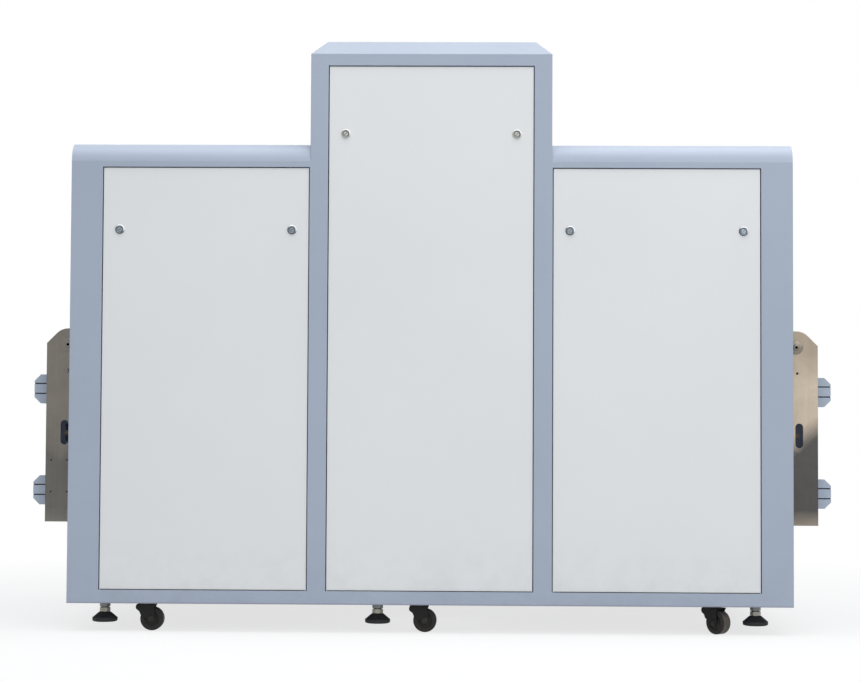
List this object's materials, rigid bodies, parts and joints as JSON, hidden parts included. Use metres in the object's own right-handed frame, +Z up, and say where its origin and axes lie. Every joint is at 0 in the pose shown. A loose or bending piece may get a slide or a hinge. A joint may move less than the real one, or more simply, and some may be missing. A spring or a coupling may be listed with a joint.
{
  "type": "baggage x-ray scanner",
  "caption": "Free-standing baggage x-ray scanner: a steel cabinet with a raised tower around a belt conveyor tunnel, on swivel casters and levelling feet.",
  "frame": {"origin": "centre of the footprint, on the floor", "axes": "+Z up, -Y to the side with the three lockable panels, +X along the belt to the right as seen from that side"},
  "size_m": [2.63, 1.352, 1.9035],
  "materials": {
    "cabinet_blue": "fine powder coat, satin",
    "panel_white": "fine powder coat, satin",
    "stainless": "brushed stainless sheet",
    "zinc": "zinc plated steel",
    "apron_paint": "dark blue powder coat, satin",
    "belt_rubber": "smooth black belt cover",
    "lead_rubber": "matt lead rubber",
    "chromed": "polished",
    "foot_rubber": "moulded rubber pad, dusty",
    "fork_black": "black coating, satin",
    "wheel_rubber": "rubber tread, dusty",
    "inlet_plastic": "black moulding"
  },
  "bodies": {
    "cabinet": {"base_frame": "cabinet_blue", "upright_frame": "cabinet_blue", "front_frame": "cabinet_blue", "rear_frame": "cabinet_blue", "end_covers": "cabinet_blue", "wing_roofs": "cabinet_blue", "tower_sides": "cabinet_blue", "tower_cap": "cabinet_blue", "lower_coupling_blocks": "cabinet_blue", "upper_coupling_blocks": "cabinet_blue", "detector_arm": "cabinet_blue", "rear_panels": "panel_white", "control_cabinet": "panel_white", "conveyor_plates": "stainless", "tunnel_liner": "stainless", "rear_screws": "zinc", "belt_bed": "zinc", "end_axles": "zinc", "curtain_rails": "zinc", "xray_generator": "zinc", "foot_jam_nuts": "zinc", "caster_plates": "zinc", "end_aprons": "apron_paint", "conveyor_belt": "belt_rubber", "power_inlet": "inlet_plastic"},
    "left_panel": {"left_front_panel": "panel_white", "left_lock_housings": "chromed"},
    "left_panel_left_cam_body": {"left_panel_left_cam": "chromed"},
    "left_panel_right_cam_body": {"left_panel_right_cam": "chromed"},
    "middle_panel": {"middle_front_panel": "panel_white", "middle_lock_housings": "chromed"},
    "middle_panel_left_cam_body": {"middle_panel_left_cam": "chromed"},
    "middle_panel_right_cam_body": {"middle_panel_right_cam": "chromed"},
    "right_panel": {"right_front_panel": "panel_white", "right_lock_housings": "chromed"},
    "right_panel_left_cam_body": {"right_panel_left_cam": "chromed"},
    "right_panel_right_cam_body": {"right_panel_right_cam": "chromed"},
    "left_end_roller_body": {"left_end_roller": "zinc"},
    "right_end_roller_body": {"right_end_roller": "zinc"},
    "return_roller_body": {"return_roller": "zinc"},
    "left_curtain_body": {"left_curtain": "lead_rubber"},
    "right_curtain_body": {"right_curtain": "lead_rubber"},
    "front_left_foot_body": {"front_left_foot": "foot_rubber"},
    "front_left_swivel": {"front_left_fork": "fork_black"},
    "front_left_wheel_body": {"front_left_wheel": "wheel_rubber"},
    "front_middle_foot_body": {"front_middle_foot": "foot_rubber"},
    "front_middle_swivel": {"front_middle_fork": "fork_black"},
    "front_middle_wheel_body": {"front_middle_wheel": "wheel_rubber"},
    "front_right_foot_body": {"front_right_foot": "foot_rubber"},
    "front_right_swivel": {"front_right_fork": "fork_black"},
    "front_right_wheel_body": {"front_right_wheel": "wheel_rubber"},
    "rear_left_foot_body": {"rear_left_foot": "foot_rubber"},
    "rear_left_swivel": {"rear_left_fork": "fork_black"},
    "rear_left_wheel_body": {"rear_left_wheel": "wheel_rubber"},
    "rear_middle_foot_body": {"rear_middle_foot": "foot_rubber"},
    "rear_middle_swivel": {"rear_middle_fork": "fork_black"},
    "rear_middle_wheel_body": {"rear_middle_wheel": "wheel_rubber"},
    "rear_right_foot_body": {"rear_right_foot": "foot_rubber"},
    "rear_right_swivel": {"rear_right_fork": "fork_black"},
    "rear_right_wheel_body": {"rear_right_wheel": "wheel_rubber"}
  },
  "joints": [
    {"name": "right_roller_spin", "type": "hinge", "parent": "cabinet", "child": "right_end_roller_body", "pos_m": [1.191, 0, 0.9217], "axis": [0, 1, 0], "continuous": true},
    {"name": "left_roller_spin", "type": "hinge", "parent": "cabinet", "child": "left_end_roller_body", "pos_m": [-1.191, 0, 0.9217], "axis": [0, 1, 0], "continuous": true},
    {"name": "return_roller_spin", "type": "hinge", "parent": "cabinet", "child": "return_roller_body", "pos_m": [0.15, 0, 0.8531], "axis": [0, 1, 0], "continuous": true},
    {"name": "left_curtain_swing", "type": "hinge", "parent": "cabinet", "child": "left_curtain_body", "pos_m": [-1.097, 0, 1.451], "axis": [0, 1, 0], "range_deg": [-60, 60]},
    {"name": "right_curtain_swing", "type": "hinge", "parent": "cabinet", "child": "right_curtain_body", "pos_m": [1.097, 0, 1.451], "axis": [0, 1, 0], "range_deg": [-60, 60]},
    {"name": "left_panel_tilt", "type": "hinge", "parent": "cabinet", "child": "left_panel", "pos_m": [0, -0.671, 0.1333], "axis": [1, 0, 0], "range_deg": [0, 25]},
    {"name": "left_panel_left_cam_turn", "type": "hinge", "parent": "left_panel", "child": "left_panel_left_cam_body", "pos_m": [-1, -0.65, 1.287], "axis": [0, 1, 0], "range_deg": [-90, 0]},
    {"name": "left_panel_right_cam_turn", "type": "hinge", "parent": "left_panel", "child": "left_panel_right_cam_body", "pos_m": [-0.446, -0.65, 1.287], "axis": [0, 1, 0], "range_deg": [0, 90]},
    {"name": "middle_panel_tilt", "type": "hinge", "parent": "cabinet", "child": "middle_panel", "pos_m": [0, -0.671, 0.1333], "axis": [1, 0, 0], "range_deg": [0, 25]},
    {"name": "middle_panel_left_cam_turn", "type": "hinge", "parent": "middle_panel", "child": "middle_panel_left_cam_body", "pos_m": [-0.275, -0.65, 1.597], "axis": [0, 1, 0], "range_deg": [-90, 0]},
    {"name": "middle_panel_right_cam_turn", "type": "hinge", "parent": "middle_panel", "child": "middle_panel_right_cam_body", "pos_m": [0.275, -0.65, 1.597], "axis": [0, 1, 0], "range_deg": [0, 90]},
    {"name": "right_panel_tilt", "type": "hinge", "parent": "cabinet", "child": "right_panel", "pos_m": [0, -0.671, 0.1333], "axis": [1, 0, 0], "range_deg": [0, 25]},
    {"name": "right_panel_left_cam_turn", "type": "hinge", "parent": "right_panel", "child": "right_panel_left_cam_body", "pos_m": [0.446, -0.65, 1.287], "axis": [0, 1, 0], "range_deg": [-90, 0]},
    {"name": "right_panel_right_cam_turn", "type": "hinge", "parent": "right_panel", "child": "right_panel_right_cam_body", "pos_m": [1, -0.65, 1.287], "axis": [0, 1, 0], "range_deg": [0, 90]},
    {"name": "front_left_foot_screw", "type": "slide", "parent": "cabinet", "child": "front_left_foot_body", "axis": [0, 0, -1], "range_m": [0, 0.0275]},
    {"name": "front_left_caster_swivel", "type": "hinge", "parent": "cabinet", "child": "front_left_swivel", "pos_m": [-0.911, -0.6085, 0.085], "axis": [0, 0, 1], "continuous": true},
    {"name": "front_left_wheel_roll", "type": "hinge", "parent": "front_left_swivel", "child": "front_left_wheel_body", "pos_m": [-0.891, -0.6085, 0.0375], "axis": [0, 1, 0], "continuous": true},
    {"name": "front_middle_foot_screw", "type": "slide", "parent": "cabinet", "child": "front_middle_foot_body", "axis": [0, 0, -1], "range_m": [0, 0.0275]},
    {"name": "front_middle_caster_swivel", "type": "hinge", "parent": "cabinet", "child": "front_middle_swivel", "pos_m": [-0.034, -0.6085, 0.085], "axis": [0, 0, 1], "continuous": true},
    {"name": "front_middle_wheel_roll", "type": "hinge", "parent": "front_middle_swivel", "child": "front_middle_wheel_body", "pos_m": [-0.014, -0.6085, 0.0375], "axis": [0, 1, 0], "continuous": true},
    {"name": "front_right_foot_screw", "type": "slide", "parent": "cabinet", "child": "front_right_foot_body", "axis": [0, 0, -1], "range_m": [0, 0.0275]},
    {"name": "front_right_caster_swivel", "type": "hinge", "parent": "cabinet", "child": "front_right_swivel", "pos_m": [0.91, -0.6085, 0.085], "axis": [0, 0, 1], "continuous": true},
    {"name": "front_right_wheel_roll", "type": "hinge", "parent": "front_right_swivel", "child": "front_right_wheel_body", "pos_m": [0.92414, -0.62264, 0.0375], "axis": [0.7071, 0.7071, 0], "continuous": true},
    {"name": "rear_left_foot_screw", "type": "slide", "parent": "cabinet", "child": "rear_left_foot_body", "axis": [0, 0, -1], "range_m": [0, 0.0275]},
    {"name": "rear_left_caster_swivel", "type": "hinge", "parent": "cabinet", "child": "rear_left_swivel", "pos_m": [-0.911, 0.6085, 0.085], "axis": [0, 0, 1], "continuous": true},
    {"name": "rear_left_wheel_roll", "type": "hinge", "parent": "rear_left_swivel", "child": "rear_left_wheel_body", "pos_m": [-0.891, 0.6085, 0.0375], "axis": [0, 1, 0], "continuous": true},
    {"name": "rear_middle_foot_screw", "type": "slide", "parent": "cabinet", "child": "rear_middle_foot_body", "axis": [0, 0, -1], "range_m": [0, 0.0275]},
    {"name": "rear_middle_caster_swivel", "type": "hinge", "parent": "cabinet", "child": "rear_middle_swivel", "pos_m": [-0.034, 0.6085, 0.085], "axis": [0, 0, 1], "continuous": true},
    {"name": "rear_middle_wheel_roll", "type": "hinge", "parent": "rear_middle_swivel", "child": "rear_middle_wheel_body", "pos_m": [-0.014, 0.6085, 0.0375], "axis": [0, 1, 0], "continuous": true},
    {"name": "rear_right_foot_screw", "type": "slide", "parent": "cabinet", "child": "rear_right_foot_body", "axis": [0, 0, -1], "range_m": [0, 0.0275]},
    {"name": "rear_right_caster_swivel", "type": "hinge", "parent": "cabinet", "child": "rear_right_swivel", "pos_m": [0.91, 0.6085, 0.085], "axis": [0, 0, 1], "continuous": true},
    {"name": "rear_right_wheel_roll", "type": "hinge", "parent": "rear_right_swivel", "child": "rear_right_wheel_body", "pos_m": [0.92732, 0.6185, 0.0375], "axis": [-0.5, 0.866, 0], "continuous": true}
  ],
  "couplings": [
    {"joint": "left_roller_spin", "follows": "right_roller_spin", "ratio": 1},
    {"joint": "return_roller_spin", "follows": "right_roller_spin", "ratio": -1.6}
  ]
}
